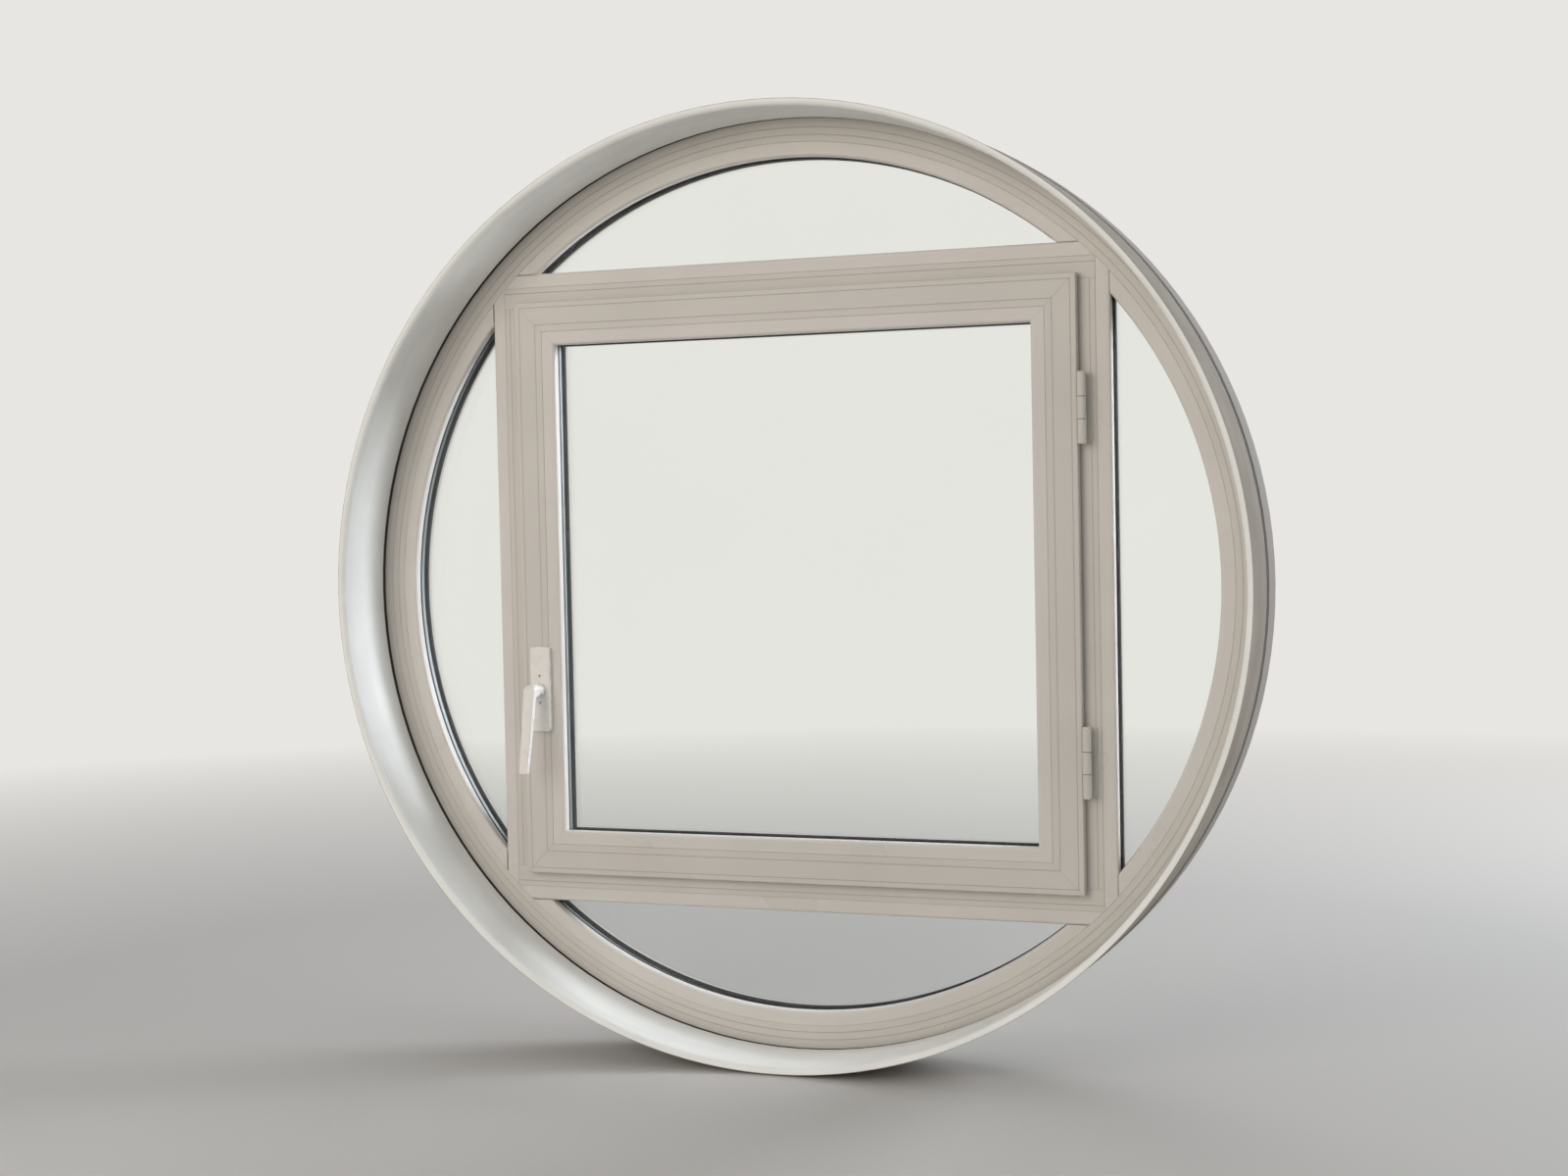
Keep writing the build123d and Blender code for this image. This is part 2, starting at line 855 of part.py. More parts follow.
def fixed_frame_nodes():
    ring = make_outer_frame()
    top = make_transom(ring)
    bottom = on_side(top, "bottom")
    bottom -= drain_slots(frame_at["leg"], frame_at["out"], sash_drain_places())
    right = make_mullion(ring, [top, bottom])
    left = right.mirror(Plane.YZ)
    return {
        "outer_frame": ring,
        "top_transom": top,
        "bottom_transom": bottom,
        "left_mullion": left,
        "right_mullion": right - frame_stud_holes(),
        "reveal_liner": make_liner(),
        "liner_seal": make_liner_seal(),
        "frame_weather_seal": make_weather_seal(),
        "frame_setting_blocks": make_frame_blocks(),
        "drain_caps": make_drain_caps(),
        "lock_keeps": make_lock_keeps(),
    }


def segment_light_nodes():
    light = make_segment_light()
    return {
        f"{side}_light_{name}": on_side(piece, side)
        for side in side_angle
        for name, piece in light.items()
    }


def sash_nodes():
    nodes = {"sash_frame": make_sash_frame()}
    for name, piece in make_sash_light().items():
        nodes[f"sash_{name}"] = piece
    bead = make_sash_bead()
    for side in side_angle:
        nodes[f"sash_{side}_bead"] = on_side(bead, side)
    nodes["sash_overlap_seal"] = make_overlap_seal()
    nodes["sash_setting_blocks"] = make_sash_blocks()
    return nodes


def hinge_nodes():
    leaves = {
        "frame_leaf": make_frame_leaf(),
        "sash_leaf": make_sash_leaf(),
        "pin": make_hinge_pin(),
    }
    heights = {"upper": hinge_height, "lower": -hinge_height}
    return {
        f"{place}_hinge_{name}": Pos(0, 0, z) * piece
        for place, z in heights.items()
        for name, piece in leaves.items()
    }


def handle_and_lock_nodes():
    return {
        "handle_plate": make_handle_plate(),
        "handle_screws": make_handle_screws(),
        "handle_lever": make_handle_lever(),
        "handle_spindle": make_handle_spindle(),
        "lock_follower": make_lock_follower(),
        "lock_bar": make_lock_bar(),
        "lock_faceplate": make_lock_faceplate(),
        "lock_gearbox": make_lock_gearbox(),
    }


nodes = (
    fixed_frame_nodes()
    | segment_light_nodes()
    | sash_nodes()
    | hinge_nodes()
    | handle_and_lock_nodes()
)
os.makedirs("parts", exist_ok=True)
for name, part in nodes.items():
    export_step(part, f"parts/{name}.step")
print(f"{len(nodes)} nodes, lock travel {lock_travel:.2f} mm per quarter turn")
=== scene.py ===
import bmesh
import bpy
import math
from mathutils import Matrix, Vector


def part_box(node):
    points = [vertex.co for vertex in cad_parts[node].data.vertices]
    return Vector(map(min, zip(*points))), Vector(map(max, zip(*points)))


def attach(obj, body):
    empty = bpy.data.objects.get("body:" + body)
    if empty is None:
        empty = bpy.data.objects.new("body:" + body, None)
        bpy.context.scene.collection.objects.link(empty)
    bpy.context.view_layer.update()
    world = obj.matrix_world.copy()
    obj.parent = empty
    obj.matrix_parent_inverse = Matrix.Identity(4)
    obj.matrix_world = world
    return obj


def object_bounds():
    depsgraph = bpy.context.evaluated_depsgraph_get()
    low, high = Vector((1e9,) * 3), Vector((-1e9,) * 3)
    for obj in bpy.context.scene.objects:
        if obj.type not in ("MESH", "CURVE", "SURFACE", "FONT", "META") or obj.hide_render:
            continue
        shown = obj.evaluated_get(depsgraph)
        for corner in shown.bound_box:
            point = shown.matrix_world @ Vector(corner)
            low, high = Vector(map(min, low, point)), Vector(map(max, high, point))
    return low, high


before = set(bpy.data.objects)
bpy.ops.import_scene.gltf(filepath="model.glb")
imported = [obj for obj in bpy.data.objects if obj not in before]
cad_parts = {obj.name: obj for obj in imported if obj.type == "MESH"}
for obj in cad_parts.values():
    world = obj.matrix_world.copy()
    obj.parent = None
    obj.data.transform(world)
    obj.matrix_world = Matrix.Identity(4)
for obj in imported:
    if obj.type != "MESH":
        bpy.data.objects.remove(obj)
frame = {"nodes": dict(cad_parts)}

# Round window: finishes, light and camera round the fixed CAD frame. Lengths are in metres.
cad_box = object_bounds()

# Camera, from the photograph's own perspective lines
CAMERA_PLACE = Vector((1.2089, -3.2674, 0.1315))
CAMERA_ROLL = -1.18
SENSOR_WIDTH = 36.0
LENS = 51.5

# Finishes as sRGB values
PVC_WHITE = (203, 198, 190)
BEAD_WHITE = (209, 204, 197)
LINER_WHITE = (238, 238, 233)
LINER_RAW = (168, 160, 148)
JOINT_DARK = (34, 28, 26)
RUBBER_BLACK = (38, 39, 41)
SPACER_GREY = (168, 174, 174)
BLOCK_GREEN = (70, 96, 84)
HINGE_WHITE = (200, 195, 187)
HANDLE_WHITE = (229, 225, 219)
ZINC_GREY = (158, 156, 147)
GLASS_TINT = (254, 255, 254)
NYLON_GREY = (92, 89, 85)
# Painted shade for the cross recesses of the screws
RECESS_SHADE = (58, 56, 53)
BACKGROUND = (232, 230, 226)
FLOOR_PALE = (190, 187, 182)
DAYLIGHT = (240, 246, 255)
ROOM_LIGHT = (255, 246, 236)
WORLD_TINT = (236, 240, 246)

# Light: lamps outdoors, behind the window, and one in the room
WORLD_LIGHT = 0.46
LAMPS = {
    "daylight": {
        "place": (3.1, 3.3, 1.5), "aim": (-0.6, -0.1, 0.0),
        "size": 2.0, "power": 134,
        "colour": DAYLIGHT, "mirrored": True,
    },
    "sky": {
        "place": (-0.6, 3.2, 3.6), "aim": (0.0, 0.0, -0.3),
        "size": 3.0, "power": 40,
        "colour": DAYLIGHT, "mirrored": True,
    },
    "low": {
        "place": (0.2, 2.9, -0.2), "aim": (-0.1, -0.1, 1.1),
        "size": 0.8, "power": 11, "spread": 60,
        "colour": DAYLIGHT, "mirrored": False,
    },
    "room": {
        "place": (-1.2, -4.3, 1.2), "aim": (0.1, 0.0, 0.1),
        "size": 3.2, "power": 99,
        "colour": ROOM_LIGHT, "mirrored": False,
    },
}

# Floor: its size, and where it starts and ends to turn into the background
FLOOR_RADIUS = 60.0
FLOOR_SIDES = 96
FLOOR_CLEAR = 1.6
FLOOR_GONE = 5.0

# Fine forms of the moulded profiles, as distances from the window's centre; the grooves are bumped, and
# darkened as painted shade
GROOVE_WIDTH = 0.0016
RING_GROOVES = (0.7030, 0.6915)
BAR_GROOVES = (0.4735,)
SASH_GROOVES = (0.4485, 0.4210)

# Where the painted and the moulded skin end, towards the wall; past the moulded skin the plastic is dull
# and darkened as painted shade
LINER_SKIN_R = 0.7252
RING_SKIN_R = 0.7270
SKIN_EDGE = 0.0003

# Stretch of fine marks along a member, and round the ring in metres per radian
DIE_LINE_STRETCH = 0.004
ROLLER_STRETCH = 0.72
TROWEL_STRETCH = 0.12
SMEAR_STRETCH = 0.3

# Vent holes of the spacers
VENT_PITCH = 0.006
VENT_RADIUS = 0.0011

# Small added pieces
GASKET_DEPTH = 0.003
LIP_RADIUS = 0.0011
LIP_ROUNDNESS = 2
ARC_STEPS = 64
WASHER_PROUD = 0.0003
WASHER_THICKNESS = 0.0008
WASHER_SIDES = 40
# Size of the painted shade crosses on the screw heads
RECESS_LENGTH = 0.0052
RECESS_WIDTH = 0.0010
RECESS_PROUD = 0.00004


def linear(colour, shade=1.0):
    """An sRGB colour of 0 to 255 as linear light, with alpha."""
    def channel(value):
        value = value / 255
        return value / 12.92 if value <= 0.04045 else ((value + 0.055) / 1.055) ** 2.4
    return tuple(channel(value) * shade for value in colour) + (1.0,)


class Nodes:
    """A node tree under construction."""

    def __init__(self, tree):
        self.tree = tree

    def add(self, kind, inputs=(), **settings):
        """A node with its settings, and inputs by name or number as values or as sockets."""
        node = self.tree.nodes.new(kind)
        for key, value in settings.items():
            setattr(node, key, value)
        for key, value in dict(inputs).items():
            self.feed(node.inputs[key], value)
        return node

    def feed(self, socket, value):
        if isinstance(value, bpy.types.NodeSocket):
            self.tree.links.new(value, socket)
        else:
            socket.default_value = value

    def math(self, operation, first, second=0.0):
        return self.add("ShaderNodeMath", {0: first, 1: second}, operation=operation).outputs[0]

    def distance(self, first, second):
        """The length of a vector with two parts at a right angle."""
        squares = [self.math("MULTIPLY", part, part) for part in (first, second)]
        return self.math("SQRT", self.math("ADD", *squares))

    def seen_directly(self):
        """1 for rays from the camera, from gloss and through glass, and 0 for diffuse light."""
        path = self.add("ShaderNodeLightPath").outputs
        seen = self.math("MAXIMUM", path["Is Camera Ray"], path["Is Glossy Ray"])
        return self.math("MAXIMUM", seen, path["Is Transmission Ray"])


class Shader(Nodes):
    """A node material under construction."""

    def __init__(self, name):
        self.material = bpy.data.materials.new(name)
        self.material.use_nodes = True
        super().__init__(self.material.node_tree)
        self.bsdf = self.tree.nodes["Principled BSDF"]

    def place(self):
        """X, Y and Z of the point in the window's own frame."""
        coords = self.add("ShaderNodeTexCoord").outputs["Object"]
        return self.add("ShaderNodeSeparateXYZ", {0: coords}).outputs

    def vector(self, x, y, z):
        return self.add("ShaderNodeCombineXYZ", {0: x, 1: y, 2: z}).outputs[0]

    def noise(self, vector, scale, detail=2.0, roughness=0.5):
        inputs = {"Vector": vector, "Scale": scale, "Detail": detail, "Roughness": roughness}
        return self.add("ShaderNodeTexNoise", inputs).outputs["Fac"]

    def ramp(self, value, low, high, to_low, to_high):
        """Maps a value from one range to another, held at its ends."""
        inputs = {"Value": value, 1: low, 2: high, 3: to_low, 4: to_high}
        return self.add("ShaderNodeMapRange", inputs).outputs["Result"]

    def blend(self, share, first, second):
        inputs = {"Factor": share, "A": first, "B": second}
        node = self.add("ShaderNodeMix", data_type="RGBA")
        for socket in node.inputs:
            if socket.enabled and socket.name in inputs:
                self.feed(socket, inputs[socket.name])
        return next(socket for socket in node.outputs if socket.enabled)

    def bump(self, layers):
        """Stacked bumps, each as (height, strength, depth in metres)."""
        normal = None
        for height, strength, depth in layers:
            inputs = {"Height": height, "Strength": strength, "Distance": depth}
            if normal is not None:
                inputs["Normal"] = normal
            normal = self.add("ShaderNodeBump", inputs).outputs["Normal"]
        self.feed(self.bsdf.inputs["Normal"], normal)

    def surface(self, **values):
        """Values of the surface's own sockets, an underscore standing for a space."""
        for name, value in values.items():
            self.feed(self.bsdf.inputs[name.replace("_", " ")], value)
        return self.material


def across_ring(shader, x, z):
    """Distance from the ring's axis, and the angle round it in radians."""
    return shader.distance(x, z), shader.math("ARCTAN2", z, x)


def across_square(shader, x, z):
    """Distance from the centre on whichever side of the square the point is, and the way along it."""
    sideways = shader.math("ABSOLUTE", x)
    upward = shader.math("ABSOLUTE", z)
    return shader.math("MAXIMUM", sideways, upward), shader.math("MINIMUM", sideways, upward)


def across_level(shader, x, z):
    """Height above or below the centre, and the way along a level member."""
    return shader.math("ABSOLUTE", z), x


def across_upright(shader, x, z):
    """Distance to the side of the centre, and the way along an upright member."""
    return shader.math("ABSOLUTE", x), z


def plastic(name, colour, across, roughness=(0.30, 0.42), grooves=(), skin_end=None):
    """White extruded plastic, with die lines along the profile, named grooves darkened with painted
    shade, and a faint orange peel.

    Beyond skin_end, where the profile meets the wall, it is dull, and its colour is darkened as painted
    shade.
    """
    shader = Shader(name)
    x, y, z = shader.place()
    side, along = across(shader, x, z)
    drawn_out = shader.math("MULTIPLY", along, DIE_LINE_STRETCH)
    lines = shader.noise(shader.vector(side, y, drawn_out), 900, 3.0)
    peel = shader.noise(shader.vector(x, y, z), 700, 1.0)
    drift = shader.noise(shader.vector(x, y, z), 5.0, 3.0)
    tone = shader.math("ADD", shader.math("MULTIPLY", lines, 0.35), shader.math("MULTIPLY", drift, 0.65))
    tone = shader.ramp(tone, 0.35, 0.65, 0.0, 1.0)
    skin = shader.blend(tone, linear(colour, 0.94), linear(colour, 1.03))
    layers = [(lines, 0.25, 0.00008), (peel, 0.20, 0.00006)]
    for groove in grooves:
        away = shader.math("ABSOLUTE", shader.math("SUBTRACT", side, groove))
        groove_and_shade = shader.ramp(away, GROOVE_WIDTH / 4, GROOVE_WIDTH / 2, 1.0, 0.0)
        # Painted shade: each groove's colour is darkened towards 0.62 of the plastic's own colour
        skin = shader.blend(shader.math("MULTIPLY", groove_and_shade, 0.6), skin, linear(colour, 0.62))
        layers.append((shader.math("SUBTRACT", 1.0, groove_and_shade), 0.6, GROOVE_WIDTH / 2))
    gloss = shader.ramp(drift, 0.3, 0.7, *roughness)
    level = 0.5
    if skin_end:
        dull_and_shaded = shader.ramp(side, skin_end - SKIN_EDGE, skin_end + SKIN_EDGE, 0.0, 1.0)
        # Painted shade: past skin_end the plastic is darkened to 0.7 of its colour
        skin = shader.blend(dull_and_shaded, skin, linear(colour, 0.7))
        gloss = shader.math("MAXIMUM", gloss, shader.math("MULTIPLY", dull_and_shaded, 0.9))
        level = shader.ramp(dull_and_shaded, 0.0, 1.0, level, 0.1)
    shader.surface(Base_Color=skin, Roughness=gloss, Specular_IOR_Level=level)
    shader.bump(layers)
    return shader.material


def painted_plaster(name, colour):
    """Satin paint inside a hand-finished round lining, with slow waves; its outside is left raw."""
    shader = Shader(name)
    x, y, z = shader.place()
    radius, angle = across_ring(shader, x, z)
    skin = shader.vector(shader.math("MULTIPLY", angle, ROLLER_STRETCH), y, radius)
    roller = shader.noise(skin, 260, 3.0, 0.55)
    waves = shader.noise(skin, 9.0, 2.0)
    strokes = shader.math("MULTIPLY", angle, TROWEL_STRETCH)
    trowel = shader.noise(shader.vector(strokes, y, radius), 34, 3.0)
    tone = shader.ramp(shader.math("ADD", waves, trowel), 0.7, 1.3, 0.0, 1.0)
    raw = shader.ramp(radius, LINER_SKIN_R - SKIN_EDGE, LINER_SKIN_R + SKIN_EDGE, 0.0, 1.0)
    paint = shader.blend(tone, linear(colour, 0.93), linear(colour, 1.03))
    board = shader.blend(tone, linear(LINER_RAW, 0.85), linear(LINER_RAW, 1.1))
    satin = shader.ramp(roller, 0.3, 0.7, 0.38, 0.52)
    shader.surface(
        Base_Color=shader.blend(raw, paint, board),
        Roughness=shader.math("MAXIMUM", satin, shader.math("MULTIPLY", raw, 0.9)),
        Specular_IOR_Level=shader.ramp(raw, 0.0, 1.0, 0.5, 0.1),
    )
    shader.bump([(waves, 0.5, 0.0015), (trowel, 0.3, 0.0006), (roller, 0.35, 0.00025)])
    return shader.material


def sealant(name, colour):
    """Old dark joint filler, dull and a little uneven."""
    shader = Shader(name)
    x, y, z = shader.place()
    radius, angle = across_ring(shader, x, z)
    strokes = shader.math("MULTIPLY", angle, SMEAR_STRETCH)
    smear = shader.noise(shader.vector(strokes, y, radius), 120, 3.0)
    shader.surface(
        Base_Color=shader.blend(smear, linear(colour, 0.6), linear(colour, 1.4)),
        Roughness=shader.ramp(smear, 0.3, 0.7, 0.55, 0.85),
    )
    shader.bump([(smear, 0.6, 0.0006)])
    return shader.material


def rubber(name, colour):
    """Black glazing rubber, extruded, with a dusty bloom."""
    shader = Shader(name)
    x, y, z = shader.place()
    bloom = shader.noise(shader.vector(x, y, z), 60, 4.0)
    grain = shader.noise(shader.vector(x, y, z), 1500, 1.0)
    dust = shader.ramp(bloom, 0.4, 0.75, 0.0, 1.0)
    shader.surface(
        Base_Color=shader.blend(dust, linear(colour), linear(colour, 2.2)),
        Roughness=shader.ramp(bloom, 0.3, 0.7, 0.5, 0.72),
    )
    shader.bump([(grain, 0.3, 0.00005)])
    return shader.material


def clear_glass(name, colour):
    """Float glass with a slight tint and the faint unevenness of its surface."""
    shader = Shader(name)
    x, y, z = shader.place()
    ripple = shader.noise(shader.vector(x, y, z), 3.0, 1.0)
    shader.surface(
        Base_Color=shader.blend(ripple, linear(colour, 0.985), linear(colour)),
        Roughness=0.0,
        IOR=1.5,
        Transmission_Weight=1.0,
    )
    shader.bump([(ripple, 0.05, 0.0005)])
    return shader.material


def spacer_metal(name, colour, across, spacer):
    """Matt aluminium spacer with its row of small vent holes along the middle, bumped in and coloured
    near black as painted shade.
    """
    shader = Shader(name)
    x, y, z = shader.place()
    along = across(shader, x, z)[1]
    low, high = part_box(spacer)
    step = shader.math("SUBTRACT", shader.math("PINGPONG", along, VENT_PITCH / 2), VENT_PITCH / 4)
    height = shader.math("SUBTRACT", y, (low.y + high.y) / 2)
    vent_and_shade = shader.ramp(shader.distance(step, height), VENT_RADIUS * 0.7, VENT_RADIUS, 1.0, 0.0)
    brushed = shader.noise(shader.vector(x, shader.math("MULTIPLY", y, 30.0), z), 40, 3.0)
    metal = shader.blend(brushed, linear(colour, 0.85), linear(colour, 1.1))
    shader.surface(
        # Painted shade: the vent holes are coloured near black
        Base_Color=shader.blend(vent_and_shade, metal, linear(colour, 0.12)),
        Metallic=0.85,
        Roughness=shader.ramp(brushed, 0.3, 0.7, 0.38, 0.55),
    )
    shader.bump([(shader.math("SUBTRACT", 1.0, vent_and_shade), 0.6, 0.0004), (brushed, 0.2, 0.00005)])
    return shader.material


def moulded_block(name, colour):
    """Coloured plastic setting block with a fine moulded grain."""
    shader = Shader(name)
    x, y, z = shader.place()
    grain = shader.noise(shader.vector(x, y, z), 900, 2.0)
    shader.surface(
        Base_Color=shader.blend(grain, linear(colour, 0.85), linear(colour, 1.15)),
        Roughness=shader.ramp(grain, 0.3, 0.7, 0.45, 0.6),
    )
    shader.bump([(grain, 0.3, 0.0001)])
    return shader.material


def lacquer(name, colour, roughness):
    """Powder-coated metal, with its fine pebbled skin."""
    shader = Shader(name)
    x, y, z = shader.place()
    pebble = shader.noise(shader.vector(x, y, z), 1100, 2.0, 0.6)
    handled = shader.noise(shader.vector(x, y, z), 28, 3.0)
    shader.surface(
        Base_Color=shader.blend(handled, linear(colour, 0.96), linear(colour, 1.02)),
        Roughness=shader.ramp(handled, 0.3, 0.7, *roughness),
        Coat_Weight=0.25,
        Coat_Roughness=0.12,
    )
    shader.bump([(pebble, 0.25, 0.00006)])
    return shader.material


def plated_steel(name, colour, roughness):
    """Zinc-plated steel, with patches of bloom and fine rolling marks."""
    shader = Shader(name)
    x, y, z = shader.place()
    patches = shader.noise(shader.vector(x, y, z), 90, 4.0, 0.6)
    across, along = shader.math("MULTIPLY", x, 40.0), shader.math("MULTIPLY", z, 0.5)
    rolled = shader.noise(shader.vector(across, y, along), 60, 2.0)
    shader.surface(
        Base_Color=shader.blend(patches, linear(colour, 0.78), linear(colour, 1.12)),
        Metallic=1.0,
        Roughness=shader.ramp(patches, 0.3, 0.7, *roughness),
    )
    shader.bump([(rolled, 0.2, 0.00005), (patches, 0.1, 0.00008)])
    return shader.material


def finishes():
    """The material of every CAD node, by the words in the node's name."""
    pvc_ring = plastic("pvc_ring", PVC_WHITE, across_ring, grooves=RING_GROOVES, skin_end=RING_SKIN_R)
    pvc_level = plastic("pvc_level", PVC_WHITE, across_level, grooves=BAR_GROOVES)
    pvc_upright = plastic("pvc_upright", PVC_WHITE, across_upright, grooves=BAR_GROOVES)
    pvc_square = plastic("pvc_square", PVC_WHITE, across_square, grooves=SASH_GROOVES)
    bead_ring = plastic("bead_ring", BEAD_WHITE, across_ring, (0.26, 0.38))
    bead_level = plastic("bead_level", BEAD_WHITE, across_level, (0.26, 0.38))
    bead_upright = plastic("bead_upright", BEAD_WHITE, across_upright, (0.26, 0.38))
    seal = rubber("gasket_rubber", RUBBER_BLACK)
    hinge = lacquer("hinge_lacquer", HINGE_WHITE, (0.30, 0.42))
    handle = lacquer("handle_lacquer", HANDLE_WHITE, (0.22, 0.34))
    lock = plated_steel("lock_steel", ZINC_GREY, (0.28, 0.46))
    level, upright = ("top", "bottom"), ("left", "right")
    table = {
        "outer_frame": pvc_ring,
        "top_transom": pvc_level,
        "bottom_transom": pvc_level,
        "left_mullion": pvc_upright,
        "right_mullion": pvc_upright,
        "reveal_liner": painted_plaster("liner_paint", LINER_WHITE),
        "liner_seal": sealant("joint_sealant", JOINT_DARK),
        "frame_weather_seal": seal,
        "frame_setting_blocks": moulded_block("setting_block", BLOCK_GREEN),
        "drain_caps": pvc_level,
        "lock_keeps": lock,
        "sash_frame": pvc_square,
        "sash_gaskets": seal,
        "sash_overlap_seal": seal,
        "sash_setting_blocks": moulded_block("sash_setting_block", BLOCK_GREEN),
        "sash_spacer": spacer_metal("spacer_square", SPACER_GREY, across_square, "sash_spacer"),
        "handle_plate": handle,
        "handle_lever": handle,
        "handle_screws": lacquer("screw_lacquer", HANDLE_WHITE, (0.28, 0.40)),
        "handle_spindle": lock,
        "lock_follower": lock,
        "lock_bar": lock,
        "lock_faceplate": lock,
        "lock_gearbox": lock,
    }
    members = (level, bead_level, across_level, "x"), (upright, bead_upright, across_upright, "z")
    for sides, bead, across, axis in members:
        spacer = spacer_metal(f"spacer_{axis}", SPACER_GREY, across, "top_light_spacer")
        for side in sides:
            table[f"{side}_light_straight_bead"] = bead
            table[f"{side}_light_arc_bead"] = bead_ring
            table[f"{side}_light_gaskets"] = seal
            table[f"{side}_light_spacer"] = spacer
            table[f"sash_{side}_bead"] = bead
    for place in ("upper", "lower"):
        for piece in ("frame_leaf", "sash_leaf", "pin"):
            table[f"{place}_hinge_{piece}"] = hinge
    return table


def dress(nodes):
    """Every CAD node gets its finish. The panes cast no shadow, so that daylight comes in."""
    glass = clear_glass("clear_glass", GLASS_TINT)
    table = finishes()
    for name, node in nodes.items():
        is_pane = name.endswith("_pane")
        node.data.materials.clear()
        node.data.materials.append(glass if is_pane else table[name])
        node.visible_shadow = not is_pane


def link(name, data, material, body):
    """A new piece of the window that moves with one of its bodies."""
    piece = bpy.data.objects.new(name, data)
    bpy.context.scene.collection.objects.link(piece)
    data.materials.append(material)
    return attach(piece, body)


def lip_loops(name, loops, material, body):
    """Thin rubber lips along closed loops of points."""
    curve = bpy.data.curves.new(name, "CURVE")
    curve.dimensions = "3D"
    curve.bevel_depth = LIP_RADIUS
    curve.bevel_resolution = LIP_ROUNDNESS
    for points in loops:
        spline = curve.splines.new("POLY")
        spline.points.add(len(points) - 1)
        for slot, point in zip(spline.points, points):
            slot.co = (*point, 1.0)
        spline.use_cyclic_u = True
    return link(name, curve, material, body)


def gasket_depths(gaskets):
    """Depths of the middle of the room-side and of the outdoor gasket."""
    low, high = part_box(gaskets)
    half = GASKET_DEPTH / 2
    return low.y + half, high.y - half


def make_lips(material):
    """The lips of the glazing rubbers, that show along the edge of every glass."""
    bead_low, bead_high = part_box("top_light_straight_bead")
    chord = bead_high.z
    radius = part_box("top_light_arc_bead")[1].z - (bead_high.z - bead_low.z)
    reach = math.acos(chord / radius)
    arc = [reach * (1 - 2 * step / ARC_STEPS) for step in range(ARC_STEPS + 1)]
    loops = []
    for depth in gasket_depths("top_light_gaskets"):
        for turn in range(4):
            quarter = turn * math.pi / 2
            loops.append([
                (radius * math.sin(angle + quarter), depth, radius * math.cos(angle + quarter))
                for angle in arc
            ])
    lip_loops("light_glazing_lips", loops, material, "frame")
    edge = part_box("sash_top_bead")[0].z
    corners = ((-edge, -edge), (edge, -edge), (edge, edge), (-edge, edge))
    loops = [[(x, depth, z) for x, z in corners] for depth in gasket_depths("sash_gaskets")]
    lip_loops("sash_glazing_lips", loops, material, "sash")


def make_hinge_washers(material):
    """Nylon washers between the knuckles of both hinges."""
    mesh = bmesh.new()
    for place in ("upper", "lower"):
        low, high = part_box(f"{place}_hinge_pin")
        axis = (low + high) / 2
        radius = (high.x - low.x) / 2 + WASHER_PROUD
        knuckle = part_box(f"{place}_hinge_sash_leaf")
        for height in (knuckle[0].z, knuckle[1].z):
            at = Matrix.Translation((axis.x, axis.y, height))
            bmesh.ops.create_cone(
                mesh, cap_ends=True, segments=WASHER_SIDES, radius1=radius, radius2=radius,
                depth=WASHER_THICKNESS, matrix=at,
            )
    data = bpy.data.meshes.new("hinge_washers")
    mesh.to_mesh(data)
    mesh.free()
    link("hinge_washers", data, material, "sash")


def make_screw_recess_shades(material):
    """Painted shade of the cross recess in the head of each screw of the handle plate, as thin dark
    crosses just proud of the heads.
    """
    low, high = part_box("handle_screws")
    head = (high.x - low.x) / 2
    mesh = bmesh.new()
    for height in (low.z + head, high.z - head):
        for size in ((RECESS_LENGTH, RECESS_WIDTH), (RECESS_WIDTH, RECESS_LENGTH)):
            at = Matrix.Translation(((low.x + high.x) / 2, low.y, height))
            shape = Matrix.Diagonal((size[0], 2 * RECESS_PROUD, size[1], 1.0))
            bmesh.ops.create_cube(mesh, size=1.0, matrix=at @ shape)
    data = bpy.data.meshes.new("screw_recess_shades")
    mesh.to_mesh(data)
    mesh.free()
    link("screw_recess_shades", data, material, "sash")


def make_floor():
    """A round pale floor under the ring, that turns into the background far out."""
    under = Vector((0, 0, cad_box[0].z))
    bpy.ops.mesh.primitive_circle_add(
        vertices=FLOOR_SIDES, radius=FLOOR_RADIUS, fill_type="NGON", location=under)
    floor = bpy.context.object
    floor.name = "stage_floor"
    shader = Shader("stage_floor")
    x, y, z = shader.place()
    haze = shader.noise(shader.vector(x, y, z), 0.6, 2.0)
    shader.surface(
        Base_Color=shader.blend(haze, linear(FLOOR_PALE, 0.97), linear(FLOOR_PALE)),
        Roughness=0.75,
    )
    output = shader.tree.nodes["Material Output"]
    strength = shader.ramp(shader.seen_directly(), 0.0, 1.0, WORLD_LIGHT, 1.0)
    glow = shader.add("ShaderNodeEmission", {"Color": linear(BACKGROUND), "Strength": strength})
    far = shader.ramp(shader.distance(x, y), FLOOR_CLEAR, FLOOR_GONE, 0.0, 1.0)
    mix = shader.add("ShaderNodeMixShader", {0: far, 1: shader.bsdf.outputs[0], 2: glow.outputs[0]})
    shader.feed(output.inputs["Surface"], mix.outputs[0])
    floor.data.materials.append(shader.material)


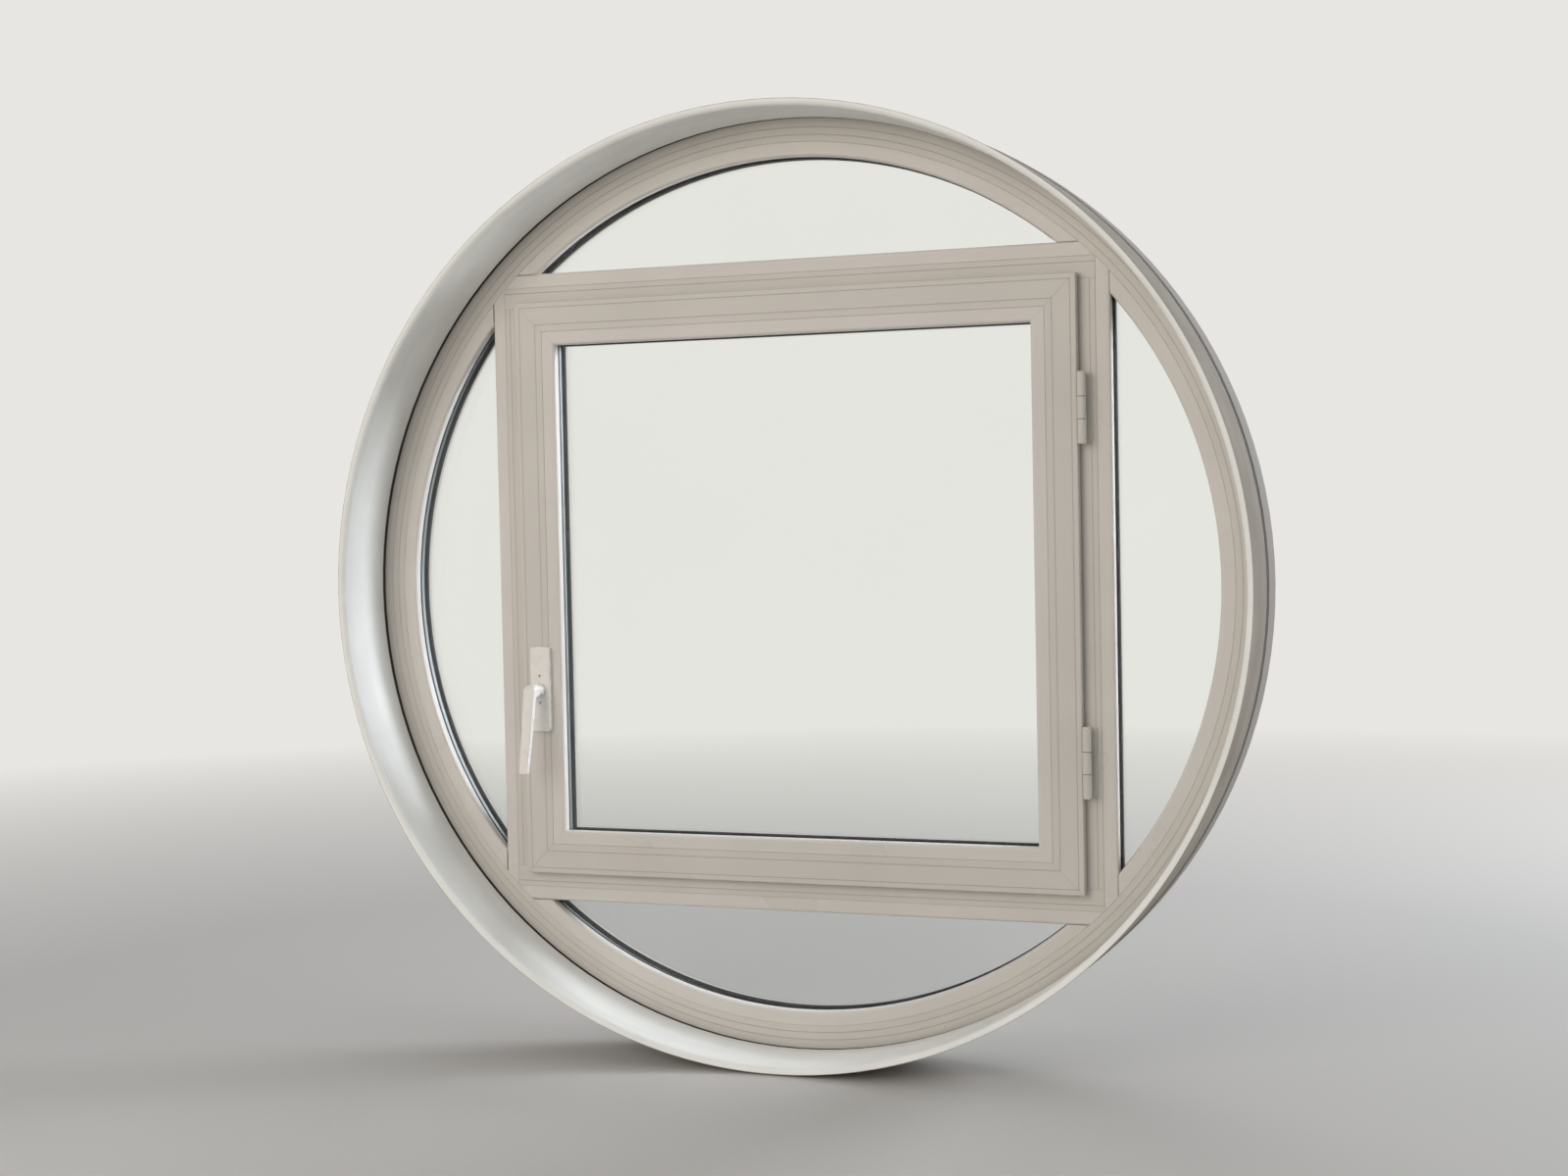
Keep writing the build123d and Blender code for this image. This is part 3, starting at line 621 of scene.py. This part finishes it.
def make_world():
    """A plain pale background for the camera, glass and gloss, and a softer light for the rest."""
    world = bpy.data.worlds.new("studio")
    bpy.context.scene.world = world
    world.use_nodes = True
    nodes = Nodes(world.node_tree)
    nodes.tree.nodes.clear()
    shown = nodes.add("ShaderNodeBackground", {"Color": linear(BACKGROUND), "Strength": 1.0})
    light = nodes.add("ShaderNodeBackground", {"Color": linear(WORLD_TINT), "Strength": WORLD_LIGHT})
    backgrounds = {0: nodes.seen_directly(), 1: light.outputs[0], 2: shown.outputs[0]}
    mix = nodes.add("ShaderNodeMixShader", backgrounds)
    nodes.add("ShaderNodeOutputWorld", {"Surface": mix.outputs[0]})


def make_lamp(name, place, aim, size, power, colour, mirrored, spread=180):
    """A round soft lamp that isn't seen itself, and is seen in gloss only if mirrored."""
    data = bpy.data.lights.new(name, "AREA")
    data.shape = "DISK"
    data.size = size
    data.spread = math.radians(spread)
    data.energy = power
    data.color = linear(colour)[:3]
    lamp = bpy.data.objects.new(name, data)
    bpy.context.scene.collection.objects.link(lamp)
    lamp.location = place
    lamp.rotation_euler = (Vector(aim) - Vector(place)).to_track_quat("-Z", "Y").to_euler()
    lamp.visible_camera = False
    lamp.visible_transmission = False
    lamp.visible_glossy = mirrored


def make_camera():
    """The photograph's camera place and roll, turned to the middle of the window."""
    data = bpy.data.cameras.new("camera")
    data.sensor_width = SENSOR_WIDTH
    data.lens = LENS
    camera = bpy.data.objects.new("camera", data)
    bpy.context.scene.collection.objects.link(camera)
    centre = (cad_box[0] + cad_box[1]) / 2
    look = (centre - CAMERA_PLACE).to_track_quat("-Z", "Y").to_matrix().to_4x4()
    roll = Matrix.Rotation(math.radians(CAMERA_ROLL), 4, "Z")
    camera.matrix_world = Matrix.Translation(CAMERA_PLACE) @ look @ roll
    bpy.context.scene.camera = camera


dress(frame["nodes"])
make_lips(rubber("lip_rubber", RUBBER_BLACK))
make_hinge_washers(moulded_block("nylon_washer", NYLON_GREY))
# The dark crosses on the screw heads are painted shade
make_screw_recess_shades(moulded_block("screw_recess_shade", RECESS_SHADE))
make_floor()
make_world()
for lamp_name, values in LAMPS.items():
    make_lamp(lamp_name, **values)
make_camera()
bpy.context.scene.view_settings.view_transform = "Standard"
